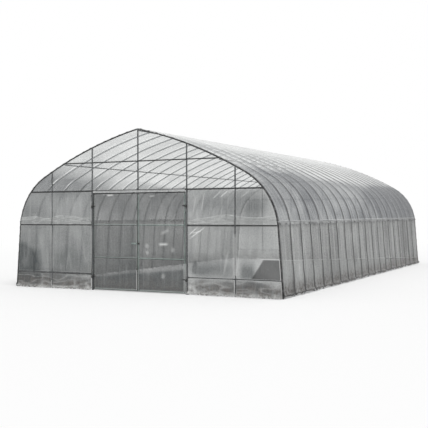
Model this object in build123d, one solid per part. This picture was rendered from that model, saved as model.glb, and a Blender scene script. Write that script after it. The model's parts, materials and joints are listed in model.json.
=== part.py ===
from build123d import *
import math
import os

# A polytunnel greenhouse: steel hoops and two framed end walls under stretched
# polythene film, with double doors that open outwards in the front wall.
# Millimetres and degrees. X runs across the tunnel, Y from the front to the
# rear, Z up. The origin is on the ground, under the middle of the tunnel.

# Arch, along the centreline of a hoop.
span = 6600.0
leg_length = 1391.0
leg_lean = 4.2  # how far a leg leans inwards from upright
shoulder_radius = 1381.0
roof_slope = 21.4  # average slope of one half of the roof
roof_turn = 16.6  # how far one half of the roof curves from shoulder to crown
crown_radius = 150.0
connector_reach = 110.0  # half width of the bent ridge connector

# Length.
bay_pitch = 600.0
bay_count = 20

# Tubes, by outer diameter.
hoop_tube = 32.0
post_tube = 48.0
upright_tube = 32.0
beam_tube = 32.0
rail_tube = 25.0
purlin_tube = 25.0
leaf_tube = 25.0

# Heights of the members, at their centres.
bottom_rail_height = 350.0
leaf_lower_rail_height = 718.0
mid_rail_height = 1424.0
eave_height = 1490.0
beam_height = 2164.0
collar_height = 2783.0
purlin_height = 2783.0

# End walls.
door_width = 2312.0  # clear between the door posts
mullion_inset = 1020.0  # from the foot of the hoop to the mullion

# Film and its lock channels.
film_thickness = 3.0
channel_width = 26.0
channel_depth = 10.0
channel_wall = 2.0
channel_lip = 5.0
head_channel_drop = 17.0  # from the beam's centre down to the channel's

# Door leaves.
leaf_side_gap = 8.0
leaf_centre_gap = 10.0
leaf_ground_gap = 20.0
leaf_head_gap = 30.0

# Hinges.
low_hinge_inset = 270.0  # from the bottom of the leaf
high_hinge_inset = 303.0  # from the top of the leaf
pin_radius = 5.0
pin_fit = 0.3
pin_stand_off = 14.7  # from the face of the film to the pin's axis
pin_from_post = 6.0
knuckle_radius = 9.0
knuckle_height = 12.0
sleeve_radius = 10.0
sleeve_height = 24.0
sleeve_lift = 1.0
strap_length = 60.0
strap_thickness = 5.0
bracket_inset = 16.0
bracket_width = 30.0
bracket_height = 60.0
bracket_arm = 12.0

# Bolt and keeper where the leaves meet.
bolt_height = 1030.0
bolt_length = 136.0
bolt_radius = 7.0
bolt_plate = 40.0
bolt_plate_thickness = 3.0
bolt_lift = 2.0  # from the plate to the bar
bolt_guide_length = 18.0
bolt_knob_length = 22.0
bolt_knob_radius = 4.0
bolt_from_centre = 14.0
keeper_length = 36.0

# Between pieces that are fastened together.
clearance = 0.3

# A shaped tube end stops this share of a radius short of the other tube's
# centre, so that it has no knife edges.
cope_stop = 0.5

hoop_radius = hoop_tube / 2
post_radius = post_tube / 2
upright_radius = upright_tube / 2
beam_radius = beam_tube / 2
rail_radius = rail_tube / 2
purlin_radius = purlin_tube / 2
leaf_radius = leaf_tube / 2

length = bay_pitch * bay_count
front_hoop_y = -length / 2
front_face = front_hoop_y - hoop_radius  # the flat outer face of the end frame
film_back = front_face - clearance
film_face = film_back - film_thickness
post_x = door_width / 2 + post_radius
mullion_x = span / 2 - mullion_inset
leaf_edge_x = door_width / 2 - leaf_side_gap
leaf_top = beam_height - beam_radius - leaf_head_gap
hinge_heights = (leaf_ground_gap + low_hinge_inset, leaf_top - high_hinge_inset)
below_ground = 50.0  # tubes run this far down before they are cut off level


def outward(heading):
    """Out of the right half of the arch, where it heads this far inwards from upright."""
    angle = math.radians(heading)
    return Vector(math.cos(angle), 0, math.sin(angle))


# The right half of the arch is a straight leg and three tangent bends: the
# shoulder, the shallow roof and the small crown. Curves that are offset from
# the centreline keep the same centres and the same headings at the joins.
shoulder_end = 90 - roof_slope - roof_turn / 2
leg_top = Vector(span / 2, 0, 0) + leg_length * Vector(
    -math.sin(math.radians(leg_lean)), 0, math.cos(math.radians(leg_lean))
)
shoulder_centre = leg_top - shoulder_radius * outward(leg_lean)
roof_start = shoulder_centre + shoulder_radius * outward(shoulder_end)
roof_chord = roof_start.X / math.cos(math.radians(roof_slope))
roof_radius = roof_chord / (2 * math.sin(math.radians(roof_turn / 2)))
roof_centre = roof_start - roof_radius * outward(shoulder_end)
crown_start = math.degrees(math.acos(-roof_centre.X / (roof_radius - crown_radius)))
crown_centre = roof_centre + (roof_radius - crown_radius) * outward(crown_start)
bends = (
    (shoulder_centre, shoulder_radius, leg_lean, shoulder_end),
    (roof_centre, roof_radius, shoulder_end, crown_start),
    (crown_centre, crown_radius, crown_start, 90.0),
)


def leg_point(offset, height):
    """On the right leg or on a line offset outwards from it, at a height."""
    run = offset / math.cos(math.radians(leg_lean))
    return Vector(span / 2 + run - height * math.tan(math.radians(leg_lean)), 0, height)


def heading_at_height(height, offset=0.0):
    """Where a bend of the right half passes a height."""
    for centre, radius, first, last in bends:
        sine = (height - centre.Z) / (radius + offset)
        if sine <= math.sin(math.radians(last)):
            return math.degrees(math.asin(sine))
    return 90.0


def heading_at_x(x, offset=0.0):
    """Where a bend of the right half passes a distance from the middle."""
    for centre, radius, first, last in bends:
        cosine = (x - centre.X) / (radius + offset)
        if cosine >= math.cos(math.radians(last)):
            return math.degrees(math.acos(cosine))
    return 90.0


def arch_point(heading, offset=0.0):
    """On a bend of the right half, or on a curve offset outwards from it."""
    for centre, radius, first, last in bends:
        if heading <= last:
            return centre + (radius + offset) * outward(heading)
    return None


def arch_half_width(height):
    """From the middle of the tunnel to a hoop's centreline, at a height."""
    if height <= leg_top.Z:
        return leg_point(0.0, height).X
    return arch_point(heading_at_height(height)).X


def arch_height(x):
    """Height of a hoop's centreline, at a distance from the middle."""
    return arch_point(heading_at_x(abs(x))).Z


def arch_run(offset, start, end, foot=None):
    """Edges along the right half between two headings, from a foot height if one is given."""
    edges = []
    if foot is not None:
        top = shoulder_centre + (shoulder_radius + offset) * outward(leg_lean)
        edges.append(Line(leg_point(offset, foot), top))
    for centre, radius, first, last in bends:
        low = max(start, first)
        high = min(end, last)
        if low < high:
            stations = (low, (low + high) / 2, high)
            points = [centre + (radius + offset) * outward(h) for h in stations]
            edges.append(ThreePointArc(*points))
    return edges


def tube_along(edges, radius):
    """A round bar that follows joined edges."""
    path = Wire(edges)
    section = Plane(origin=path @ 0, z_dir=path % 0) * Circle(radius)
    return sweep(section, path=path)


def rod(start, end, radius):
    """A straight round bar between two points."""
    run = Vector(*end) - Vector(*start)
    return extrude(Plane(origin=start, z_dir=run) * Circle(radius), run.length)


def block(low, high):
    """A box between two corners."""
    size = Vector(*high) - Vector(*low)
    middle = (Vector(*high) + Vector(*low)) / 2
    return Pos(*middle) * Box(*size)


def mirrored(shape):
    """The same piece on the left side."""
    return mirror(shape, about=Plane.YZ)


def to_rear(shape):
    """The same piece in the rear wall."""
    return mirror(shape, about=Plane.XZ)


def solids_of(*shapes):
    """Every solid of some shapes, in one list."""
    return [solid for shape in shapes for solid in shape.solids()]


def save(name, *shapes):
    """Write one named piece, or several like pieces that share a name."""
    pieces = solids_of(*shapes)
    whole = pieces[0] if len(pieces) == 1 else Compound(children=pieces)
    whole.label = name
    export_step(whole, f"parts/{name}.step")


# Hoops: two bent halves on a bent connector at the ridge.
connector_heading = heading_at_x(connector_reach)
joint_turn = math.degrees(clearance / roof_radius)


def hoop_half(radius, end):
    """The right half of a hoop at y = 0, cut off level with the ground."""
    bar = tube_along(arch_run(0.0, leg_lean, end, foot=-below_ground), radius)
    return split(bar, bisect_by=Plane.XY, keep=Keep.TOP)


def hoop_halves(radius, end):
    """Both halves of a hoop at y = 0."""
    right = hoop_half(radius, end)
    return [right, mirrored(right)]


def ridge_connector():
    """The bent tube that the two halves of a hoop meet on."""
    right = tube_along(arch_run(0.0, connector_heading, 90.0), hoop_radius)
    return right + mirrored(right)


halves = hoop_halves(hoop_radius, connector_heading - joint_turn)
hoop_space = [Pos(0, front_hoop_y, 0) * s for s in hoop_halves(hoop_radius + clearance, 90.0)]


def hoops(first, last):
    """The hoops of one group, counted from the front."""
    places = [front_hoop_y + (number - 1) * bay_pitch for number in range(first, last + 1)]
    return [Pos(0, y, 0) * half for y in places for half in halves]


# Purlins: straight tubes under the hoops.
def purlin_centre(heading):
    """Centre of a purlin hung under the hoops."""
    return arch_point(heading, -(hoop_radius + clearance + purlin_radius))


def purlin(heading, extra=0.0):
    """A purlin between the centres of the end hoops."""
    centre = purlin_centre(heading)
    start = (centre.X, front_hoop_y, centre.Z)
    end = (centre.X, -front_hoop_y, centre.Z)
    return rod(start, end, purlin_radius + extra)


side_purlin_heading = heading_at_height(purlin_height)
right_purlin_space = purlin(side_purlin_heading, clearance)
purlin_space = [purlin(90.0, clearance), right_purlin_space, mirrored(right_purlin_space)]


# End walls. Every member has its outer side on the flat front face.
def cope(bar, spaces):
    """A bar shaped to fit what it ends against, as one solid."""
    for space in spaces:
        bar = bar - space
    return bar.solids().sort_by(SortBy.VOLUME)[-1]


def upright(x, radius, bottom, spaces):
    """One upright up to the hoop, parted where the beam and the collar rail cross it."""
    y = front_face + radius
    pieces = []
    foot = bottom
    for height, rail in ((beam_height, beam_radius), (collar_height, rail_radius)):
        under = height - rail - clearance
        if foot < under and arch_half_width(height) > abs(x):
            pieces.append(rod((x, y, foot), (x, y, under), radius))
            foot = height + rail + clearance
    top = arch_height(abs(x) + radius) - cope_stop * hoop_radius
    pieces.append(cope(rod((x, y, foot), (x, y, top), radius), spaces))
    return pieces


def hoop_reach(height, radius):
    """How far out a level rail runs before it is shaped to the hoop."""
    return arch_half_width(height + radius) - cope_stop * hoop_radius


def cross_rail(height, radius, spaces):
    """A rail from hoop to hoop."""
    reach = hoop_reach(height, radius)
    y = front_face + radius
    return cope(rod((-reach, y, height), (reach, y, height), radius), spaces)


def side_rail(height, start, end, spaces):
    """A rail between two uprights, or between an upright and the hoop."""
    y = front_face + rail_radius
    return cope(rod((start, y, height), (end, y, height), rail_radius), spaces)


def clear_rod(x, radius):
    """The space that an upright takes from what ends against it."""
    y = front_face + radius
    return rod((x, y, -below_ground), (x, y, beam_height), radius + clearance)


end_space = hoop_space + purlin_space
over_beam = beam_height + beam_radius + clearance
right_mullion = upright(mullion_x, upright_radius, 0.0, end_space)
mullions = solids_of(*right_mullion) + [mirrored(s) for s in solids_of(*right_mullion)]
right_stud = upright(post_x, upright_radius, over_beam, end_space)
studs = solids_of(*right_stud) + [mirrored(s) for s in solids_of(*right_stud)]
king_post = upright(0.0, upright_radius, over_beam, end_space)
beam = cross_rail(beam_height, beam_radius, end_space)
collar = cross_rail(collar_height, rail_radius, end_space)
post_top = beam_height - beam_radius - clearance
right_post = rod(
    (post_x, front_face + post_radius, 0.0),
    (post_x, front_face + post_radius, post_top),
    post_radius,
)
door_posts = [right_post, mirrored(right_post)]


def rails_between(height, uprights):
    """The rails at one height on the right side, from one upright to the next and to the hoop."""
    spaces = hoop_space + [clear_rod(x, radius) for x, radius in uprights]
    pieces = []
    for index, (x, radius) in enumerate(uprights):
        end = hoop_reach(height, rail_radius)
        if index + 1 < len(uprights):
            next_x, next_radius = uprights[index + 1]
            end = next_x - cope_stop * next_radius
        pieces.append(side_rail(height, x + cope_stop * radius, end, spaces))
    return pieces


def side_rails(height):
    """The front wall's rails at one height, on both sides of the doorway."""
    right = rails_between(height, ((post_x, post_radius), (mullion_x, upright_radius)))
    return right + [mirrored(s) for s in right]


# The rear wall has three thinner middle posts in place of the doorway, and its
# lower rails run on between them.
def rear_posts():
    """Uprights in the middle of the rear wall, from the ground to the hoop."""
    right = upright(post_x, upright_radius, 0.0, end_space)
    middle = upright(0.0, upright_radius, 0.0, end_space)
    return right + [mirrored(s) for s in right] + middle


def rear_rails(height):
    """The rails of the rear wall at one height, between its uprights."""
    right = rails_between(height, [(x, upright_radius) for x in (0.0, post_x, mullion_x)])
    return right + [mirrored(s) for s in right]


# Lock channels for the film.
def channel_section():
    """A shallow lipped channel, its back on X and its mouth towards +Y."""
    body = Pos(0, channel_depth / 2) * Rectangle(channel_width, channel_depth)
    hollow = Pos(0, channel_depth / 2) * Rectangle(
        channel_width - 2 * channel_wall, channel_depth - 2 * channel_wall
    )
    mouth = Pos(0, channel_depth) * Rectangle(
        channel_width - 2 * (channel_wall + channel_lip), 2 * channel_wall + clearance
    )
    return body - hollow - mouth


def eave_channel():
    """The right eave channel, on the outside of the hoops."""
    heading = heading_at_height(eave_height)
    seat = arch_point(heading, hoop_radius + clearance) + Vector(0, front_face, 0)
    plane = Plane(origin=seat, x_dir=outward(heading + 90), z_dir=(0, 1, 0))
    return extrude(plane * channel_section(), length + 2 * hoop_radius)


def head_channel():
    """The channel over the doorway, on the front of the beam."""
    reach = door_width / 2 - leaf_side_gap
    seat = Vector(-reach, film_back, beam_height - head_channel_drop)
    plane = Plane(origin=seat, x_dir=(0, 0, 1), z_dir=(1, 0, 0))
    return extrude(plane * channel_section(), 2 * reach)


# Film. The arch is covered from the ground to the eave channel, over the
# shoulder and over each roof half; the end walls are flat sheets inside it.
film_inside = hoop_radius + clearance
film_outside = film_inside + film_thickness
channel_half_turn = math.degrees((channel_width / 2 + clearance) / (shoulder_radius + film_inside))
eave_heading = heading_at_height(eave_height)


def arch_film(start, end, foot=None):
    """The right-hand film between two headings, over the whole length."""
    inner = arch_run(film_inside, start, end, foot)
    outer = arch_run(film_outside, start, end, foot)
    ends = [Line(inner[0] @ 0, outer[0] @ 0), Line(inner[-1] @ 1, outer[-1] @ 1)]
    face = Pos(0, film_face, 0) * make_face(inner + outer + ends)
    return extrude(face, -2 * film_face, dir=(0, 1, 0))


def wall_film(edges):
    """A flat sheet on the front face of the end frame."""
    face = Pos(0, film_face, 0) * make_face(edges)
    return extrude(face, film_thickness, dir=(0, 1, 0))


def upper_outline(low):
    """Outline of the end wall above a height."""
    right = arch_run(hoop_radius, heading_at_height(low, hoop_radius), 90.0)
    left = [mirrored(edge) for edge in right]
    return right + left + [Line(left[0] @ 0, right[0] @ 0)]


def gable_film():
    """The sheet above the beam."""
    return wall_film(upper_outline(beam_height + clearance / 2))


def beside_door_film():
    """The sheet between the right side of the doorway and the hoop."""
    top = beam_height - clearance / 2
    edge_x = door_width / 2 + leaf_side_gap / 2
    side = arch_run(hoop_radius, leg_lean, heading_at_height(top, hoop_radius), foot=0.0)
    base = Line((edge_x, 0, 0), side[0] @ 0)
    head = Line(side[-1] @ 1, (edge_x, 0, top))
    jamb = Line((edge_x, 0, top), (edge_x, 0, 0))
    return wall_film([base, *side, head, jamb])


def rear_wall_film():
    """The one sheet of the rear wall, made in the front wall's place."""
    right = arch_run(hoop_radius, leg_lean, 90.0, foot=0.0)
    left = [mirrored(edge) for edge in right]
    return wall_film(right + left + [Line(left[0] @ 0, right[0] @ 0)])


# Door leaves: a welded tube frame with film on its front.
def leaf_frame():
    """The right leaf's frame, as one welded piece."""
    y = front_face + leaf_radius
    hinge_x = leaf_edge_x - leaf_radius
    meeting_x = leaf_centre_gap / 2 + leaf_radius
    low = leaf_ground_gap + leaf_radius
    high = leaf_top - leaf_radius
    frame = Part()
    for x in (hinge_x, meeting_x):
        frame += rod((x, y, leaf_ground_gap), (x, y, leaf_top), leaf_radius)
    for height in (low, leaf_lower_rail_height, mid_rail_height, high):
        frame += rod((meeting_x, y, height), (hinge_x, y, height), leaf_radius)
    return frame


def leaf_film():
    """The right leaf's film."""
    low = (leaf_centre_gap / 2, film_face, leaf_ground_gap)
    high = (leaf_edge_x, film_back, leaf_top)
    return block(low, high)


# Hinges: a pin on the post's bracket, and a sleeve and strap on the leaf.
pin_x = door_width / 2 - pin_from_post
pin_y = film_face - pin_stand_off
metal_face = film_face - clearance  # the film's face, where metal is seated on it


def hinge_bracket(height):
    """Plate, arm, knuckle and pin on the right post."""
    near = pin_x + bracket_inset
    far = near + bracket_width
    half_arm = bracket_arm / 2
    base = height - knuckle_height
    plate_low = (near, pin_y + half_arm, height - bracket_height / 2)
    plate = block(plate_low, (far, metal_face, height + bracket_height / 2))
    arm = block((pin_x, pin_y - half_arm, base), (far, pin_y + half_arm, height))
    knuckle = rod((pin_x, pin_y, base), (pin_x, pin_y, height), knuckle_radius)
    pin_top = height + sleeve_lift + sleeve_height + pin_radius
    pin = rod((pin_x, pin_y, base), (pin_x, pin_y, pin_top), pin_radius)
    return plate + arm + knuckle + pin


def hinge_eye(height):
    """Sleeve and strap on the right leaf."""
    low = height + sleeve_lift
    high = low + sleeve_height
    strap_face = metal_face - strap_thickness
    sleeve = rod((pin_x, pin_y, low), (pin_x, pin_y, high), sleeve_radius)
    web = block((pin_x - sleeve_radius, pin_y, low), (pin_x, metal_face, high))
    strap = block((leaf_edge_x - strap_length, strap_face, low), (pin_x, metal_face, high))
    hole = rod((pin_x, pin_y, low), (pin_x, pin_y, high), pin_radius + pin_fit)
    return sleeve + web + strap - hole


# Bolt on the left leaf, drawn back, and its keeper on the right leaf.
bolt_y = metal_face - bolt_plate_thickness - bolt_lift - bolt_radius


def door_bolt():
    """Plate, two guides, round bar and knob."""
    near = -bolt_from_centre
    far = near - bolt_length
    half = bolt_plate / 2
    plate_face = metal_face - bolt_plate_thickness
    bolt = block((far, plate_face, bolt_height - half), (near, metal_face, bolt_height + half))
    for start in (far, near - bolt_guide_length):
        low = (start, bolt_y - bolt_radius - bolt_plate_thickness, bolt_height - half / 2)
        high = (start + bolt_guide_length, metal_face, bolt_height + half / 2)
        bolt += block(low, high)
    bolt += rod((far, bolt_y, bolt_height), (near, bolt_y, bolt_height), bolt_radius)
    middle = (far + near) / 2
    knob_end = (middle, bolt_y - bolt_knob_length, bolt_height)
    return bolt + rod((middle, bolt_y, bolt_height), knob_end, bolt_knob_radius)


def bolt_keeper():
    """The block on the right leaf that the bolt slides into."""
    near = bolt_from_centre
    far = near + keeper_length
    half = bolt_plate / 2
    plate_face = metal_face - bolt_plate_thickness
    plate = block((near, plate_face, bolt_height - half), (far, metal_face, bolt_height + half))
    low = (near, bolt_y - bolt_radius - bolt_plate_thickness, bolt_height - half / 2)
    guide = block(low, (near + bolt_guide_length, metal_face, bolt_height + half / 2))
    socket = rod(
        (near, bolt_y, bolt_height), (far, bolt_y, bolt_height), bolt_radius + pin_fit
    )
    return plate + (guide - socket)


os.makedirs("parts", exist_ok=True)

last_hoop = bay_count + 1
hoops_per_group = 4
save("front_hoop", *hoops(1, 1))
save("rear_hoop", *hoops(last_hoop, last_hoop))
for first in range(2, last_hoop, hoops_per_group):
    last = min(first + hoops_per_group, last_hoop) - 1
    save(f"hoops_{first:02d}_to_{last:02d}", *hoops(first, last))
connector = ridge_connector()
hoop_places = [front_hoop_y + number * bay_pitch for number in range(last_hoop)]
save("ridge_connectors", *[Pos(0, y, 0) * connector for y in hoop_places])
save("ridge_purlin", purlin(90.0))
right_purlin = purlin(side_purlin_heading)
save("side_purlins", right_purlin, mirrored(right_purlin))
save("right_eave_channel", eave_channel())
save("left_eave_channel", mirrored(eave_channel()))

save("front_mullions", *mullions)
save("front_door_posts", *door_posts)
save("front_door_studs", *studs)
save("front_king_post", *king_post)
save("front_door_beam", beam)
save("front_collar_rail", collar)
save("front_mid_rails", *side_rails(mid_rail_height))
save("front_bottom_rails", *side_rails(bottom_rail_height))
save("front_head_channel", head_channel())

save("rear_mullions", *[to_rear(s) for s in mullions])
save("rear_posts", *[to_rear(s) for s in rear_posts()])
save("rear_cross_rails", to_rear(beam), to_rear(collar))
save("rear_mid_rails", *[to_rear(s) for s in rear_rails(mid_rail_height)])
save("rear_bottom_rails", *[to_rear(s) for s in rear_rails(bottom_rail_height)])

side_film = arch_film(leg_lean, eave_heading - channel_half_turn, foot=0.0)
shoulder_film = arch_film(eave_heading + channel_half_turn, shoulder_end)
roof_film = arch_film(shoulder_end, 90.0)
for name, film in (("side", side_film), ("shoulder", shoulder_film), ("roof", roof_film)):
    save(f"right_{name}_film", film)
    save(f"left_{name}_film", mirrored(film))
save("front_gable_film", gable_film())
save("front_right_film", beside_door_film())
save("front_left_film", mirrored(beside_door_film()))
save("rear_film", to_rear(rear_wall_film()))

save("right_door_frame", leaf_frame())
save("left_door_frame", mirrored(leaf_frame()))
save("right_door_film", leaf_film())
save("left_door_film", mirrored(leaf_film()))
brackets = [hinge_bracket(height) for height in hinge_heights]
eyes = [hinge_eye(height) for height in hinge_heights]
save("hinge_brackets", *brackets, *[mirrored(s) for s in brackets])
save("right_hinge_eyes", *eyes)
save("left_hinge_eyes", *[mirrored(s) for s in eyes])
save("door_bolt", door_bolt())
save("bolt_keeper", bolt_keeper())
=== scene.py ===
"""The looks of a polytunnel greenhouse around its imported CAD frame.

Every film is a single-layer sheet that touches the tubes and sags between
them. The tubes, channels and ironwork are CAD nodes with better materials,
and small hardware is added to them. Metres; X across, Y to the rear, Z up.
"""

import json
from functools import reduce
from math import acos, copysign, cos, pi, radians, sin, tanh

import bpy
import numpy as np
from mathutils import Euler, Matrix, Vector


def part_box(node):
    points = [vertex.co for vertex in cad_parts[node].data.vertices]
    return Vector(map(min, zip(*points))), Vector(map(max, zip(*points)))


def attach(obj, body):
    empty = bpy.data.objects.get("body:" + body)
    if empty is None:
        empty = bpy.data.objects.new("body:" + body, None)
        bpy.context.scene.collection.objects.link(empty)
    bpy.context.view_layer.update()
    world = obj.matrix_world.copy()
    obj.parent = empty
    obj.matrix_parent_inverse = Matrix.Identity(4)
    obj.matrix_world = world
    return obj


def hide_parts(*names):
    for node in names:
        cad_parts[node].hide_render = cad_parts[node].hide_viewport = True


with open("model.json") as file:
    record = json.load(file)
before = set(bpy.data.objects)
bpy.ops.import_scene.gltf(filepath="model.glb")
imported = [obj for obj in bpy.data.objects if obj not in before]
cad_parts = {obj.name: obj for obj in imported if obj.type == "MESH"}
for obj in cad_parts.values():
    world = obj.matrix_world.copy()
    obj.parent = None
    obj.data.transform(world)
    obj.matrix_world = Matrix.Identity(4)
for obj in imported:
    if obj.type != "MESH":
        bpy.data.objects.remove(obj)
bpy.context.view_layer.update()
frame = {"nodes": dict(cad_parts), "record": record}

RIGHT, LEFT = 1, -1
FRONT, REAR = 1, -1

# Sizes of the frame, as in the CAD model, and places read from it

LEG_LENGTH = 1.391
LEG_LEAN = radians(4.2)
SHOULDER_RADIUS = 1.381
ROOF_SLOPE = radians(21.4)
ROOF_TURN = radians(16.6)
CROWN_RADIUS = 0.150
HOOP = 0.016  # radius of hoops, mullions and the beam
POST = 0.024  # radius of the door posts
TUBE = 0.0125  # radius of rails, purlins and leaf tubes
BAYS = 20
LEAF_RAIL_Z = 0.718  # the lower cross rail of a door leaf
HINGE_HEIGHTS = (0.290, 1.815)


def middle(node):
    """Centre of a CAD node's box."""
    low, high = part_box(node)
    return (low + high) / 2


HALF_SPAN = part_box("front_hoop")[1].x - HOOP / cos(LEG_LEAN)
HOOP_Y = middle("front_hoop").y
PITCH = -2 * HOOP_Y / BAYS
HOOP_PLACES = [HOOP_Y + PITCH * number for number in range(BAYS + 1)]
FACE_Y = HOOP_Y - HOOP
POST_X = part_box("front_door_posts")[1].x - POST
JAMB_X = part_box("front_right_film")[0].x
BEAM_Z = middle("front_door_beam").z
COLLAR_Z = middle("front_collar_rail").z
MID_Z = middle("front_mid_rails").z
BOTTOM_Z = middle("front_bottom_rails").z
MULLION_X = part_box("front_mullions")[1].x - HOOP
EAVE_Z = middle("right_eave_channel").z
MIDDLE_HOOPS = [name for name in frame["nodes"] if name.startswith("hoops_")]


def outward(heading):
    """Direction out of the arch's right half where it leans inwards by a heading."""
    return np.array([cos(heading), sin(heading)])


LEG_TOP = np.array([HALF_SPAN, 0]) + LEG_LENGTH * np.array([-sin(LEG_LEAN), cos(LEG_LEAN)])
SHOULDER_END = pi / 2 - ROOF_SLOPE - ROOF_TURN / 2
SHOULDER_CENTRE = LEG_TOP - SHOULDER_RADIUS * outward(LEG_LEAN)
ROOF_START = SHOULDER_CENTRE + SHOULDER_RADIUS * outward(SHOULDER_END)
ROOF_RADIUS = ROOF_START[0] / cos(ROOF_SLOPE) / (2 * sin(ROOF_TURN / 2))
ROOF_CENTRE = ROOF_START - ROOF_RADIUS * outward(SHOULDER_END)
CROWN_START = acos(-ROOF_CENTRE[0] / (ROOF_RADIUS - CROWN_RADIUS))
CROWN_CENTRE = ROOF_CENTRE + (ROOF_RADIUS - CROWN_RADIUS) * outward(CROWN_START)

# Runs along a hoop's centreline, from the ridge to the end of each section
CROWN_RUN = CROWN_RADIUS * (pi / 2 - CROWN_START)
ROOF_RUN = CROWN_RUN + ROOF_RADIUS * (CROWN_START - SHOULDER_END)
SHOULDER_RUN = ROOF_RUN + SHOULDER_RADIUS * (SHOULDER_END - LEG_LEAN)
GROUND_RUN = SHOULDER_RUN + LEG_LENGTH


def arch(run, offset=0):
    """Points (x, z) at runs from the ridge, positive on the right, and their headings."""
    run = np.asarray(run, float)
    far = np.abs(run)
    sections = [far < CROWN_RUN, far < ROOF_RUN, far < SHOULDER_RUN]
    turned = [
        pi / 2 - far / CROWN_RADIUS,
        CROWN_START - (far - CROWN_RUN) / ROOF_RADIUS,
        SHOULDER_END - (far - ROOF_RUN) / SHOULDER_RADIUS,
    ]
    heading = np.select(sections, turned, LEG_LEAN)
    curved = sections[:2]
    radius = np.select(curved, [CROWN_RADIUS, ROOF_RADIUS], SHOULDER_RADIUS) + offset
    centre_x = np.select(curved, [CROWN_CENTRE[0], ROOF_CENTRE[0]], SHOULDER_CENTRE[0])
    centre_z = np.select(curved, [CROWN_CENTRE[1], ROOF_CENTRE[1]], SHOULDER_CENTRE[1])
    leg = np.maximum(far - SHOULDER_RUN, 0)
    x = centre_x + radius * np.cos(heading) + leg * sin(LEG_LEAN)
    z = centre_z + radius * np.sin(heading) - leg * cos(LEG_LEAN)
    return np.where(run < 0, -1, 1) * x, z, heading


def film_line(run, offset):
    """Points (x, z) of a film that stands off the centreline."""
    x, z, heading = arch(run)
    return x + np.where(run < 0, -1, 1) * offset * np.cos(heading), z + offset * np.sin(heading)


RUN_TABLE = np.linspace(0, GROUND_RUN, 3000)
Z_TABLE = arch(RUN_TABLE)[1]


def run_at_height(z):
    """Run from the ridge down to a height of the centreline."""
    return np.interp(-np.asarray(z, float), -Z_TABLE, RUN_TABLE)


def half_width(z, offset=0):
    """Half width of the arch at a height, offset outwards."""
    x, _, heading = arch(run_at_height(z))
    return x + offset / np.maximum(np.cos(heading), 0.12)


def area_under(widths, heights):
    """Area of an outline from its widths at rising heights."""
    return float(np.sum((widths[1:] + widths[:-1]) / 2 * np.diff(heights)))


EAVE_RUN = float(run_at_height(EAVE_Z))
PURLIN_RUN = float(run_at_height(COLLAR_Z))
GABLE_TOP = float(arch(0, 0.002)[1])

# Sizes of the films

FILM_ON_HOOP = 0.0175  # from a hoop's centreline to the film on it
ON_HOOP = 0.012  # half the width of film that lies on a hoop
LIP = 0.0268  # from the hoops' centreline out to the film on the channel's lips
SEAT = 0.0205  # and to the film that the wire presses into the channel
WRAP = radians(70)  # how far the cover turns round an end hoop
TAIL = 0.06  # run of the cover below the middle of the eave channel
CLOSE = 0.0015  # from a member's face to the film on it
PAST_HOOP = 0.003  # how far an end wall's film reaches past the hoop's centreline
HEM = 0.12  # height of the crumpled foot of a film
GROUND_GAP = 0.002  # between the floor and the lowest film
SKIRT_TOP = 0.755  # at the front
SKIRT_FALL = 0.54  # down to the rear
SKIRT_FOOT = GROUND_RUN - 0.035
FLAP_LEFT = 2.6  # where the dark fold in the right sheet starts on the bottom rail

# Noise, steps and folds


def step(value, low, high):
    """0 below low and 1 above high, smoothly. It falls where low is above high."""
    t = np.clip((value - low) / (high - low), 0, 1)
    return t * t * (3 - 2 * t)


def bell(u, v=0):
    """1 at the middle of a spot, and about 0 two units out."""
    return np.exp(-(u**2) - v**2)


def noise(u, v, seed):
    """Smooth noise from -1 to 1 over a plane, with cells of one unit."""
    size = 256
    grid = np.random.default_rng(seed).uniform(-1, 1, (size, size))
    u, v = np.broadcast_arrays(np.asarray(u, float), np.asarray(v, float))
    left, low = np.floor(u).astype(int), np.floor(v).astype(int)
    s, t = step(u - left, 0, 1), step(v - low, 0, 1)
    a, b = grid[left % size, low % size], grid[(left + 1) % size, low % size]
    c, d = grid[left % size, (low + 1) % size], grid[(left + 1) % size, (low + 1) % size]
    return (a * (1 - s) + b * s) * (1 - t) + (c * (1 - s) + d * s) * t


def lumps(u, v, seed):
    """The same noise from 0 to 1."""
    return 0.5 + 0.5 * noise(u, v, seed)


def ridges(u, v, seed, sharpness=3):
    """Narrow crests from 0 to 1 that wander along v."""
    bent = u + 0.9 * noise(u * 0.31, v * 0.7, seed + 1)
    return (1 - np.abs(noise(bent, v, seed))) ** sharpness


def crease(x, z, line, width):
    """1 along a line (x, z, x, z), fading at its width and its ends."""
    start, end = np.array(line, float).reshape(2, 2)
    run = end - start
    along = ((x - start[0]) * run[0] + (z - start[1]) * run[1]) / (run @ run)
    near = np.clip(along, 0, 1)
    gap = np.hypot(x - start[0] - near * run[0], z - start[1] - near * run[1])
    return bell(gap / width) * step(along, -0.05, 0.3) * step(along, 1.05, 0.7)


# Meshes


def show(name, data):
    """A new object in the scene."""
    item = bpy.data.objects.new(name, data)
    bpy.context.scene.collection.objects.link(item)
    return item


def add_object(name, points, faces, material, body):
    """A smooth mesh piece on a body, in a slot."""
    mesh = bpy.data.meshes.new(name)
    mesh.from_pydata(np.asarray(points).reshape(-1, 3).tolist(), [], faces)
    mesh.polygons.foreach_set("use_smooth", [True] * len(mesh.polygons))
    mesh.materials.append(material)
    mesh.update()
    piece = show(name, mesh)
    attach(piece, body)
    return piece


FILM_LOOKS = ("haze", "grime", "touch", "rub_and_shade")


class Look:
    """The look of a film at each point.

    haze is how milky its folds are, with painted highlights and painted
    reflections in it; grime how dirty it is, touch how closely it clings to a
    tube that shows through it, and rub how dark it is rubbed, with painted
    shade along tubes, rails and channels in it.
    """

    def __init__(self, haze, grime=0, touch=0, rub_and_shade=0):
        self.haze, self.grime, self.touch, self.rub_and_shade = haze, grime, touch, rub_and_shade

    def darken(self, rub_and_shade):
        """Rubs it, or paints shade on it, at least this dark."""
        self.rub_and_shade = np.maximum(self.rub_and_shade, rub_and_shade)


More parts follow.
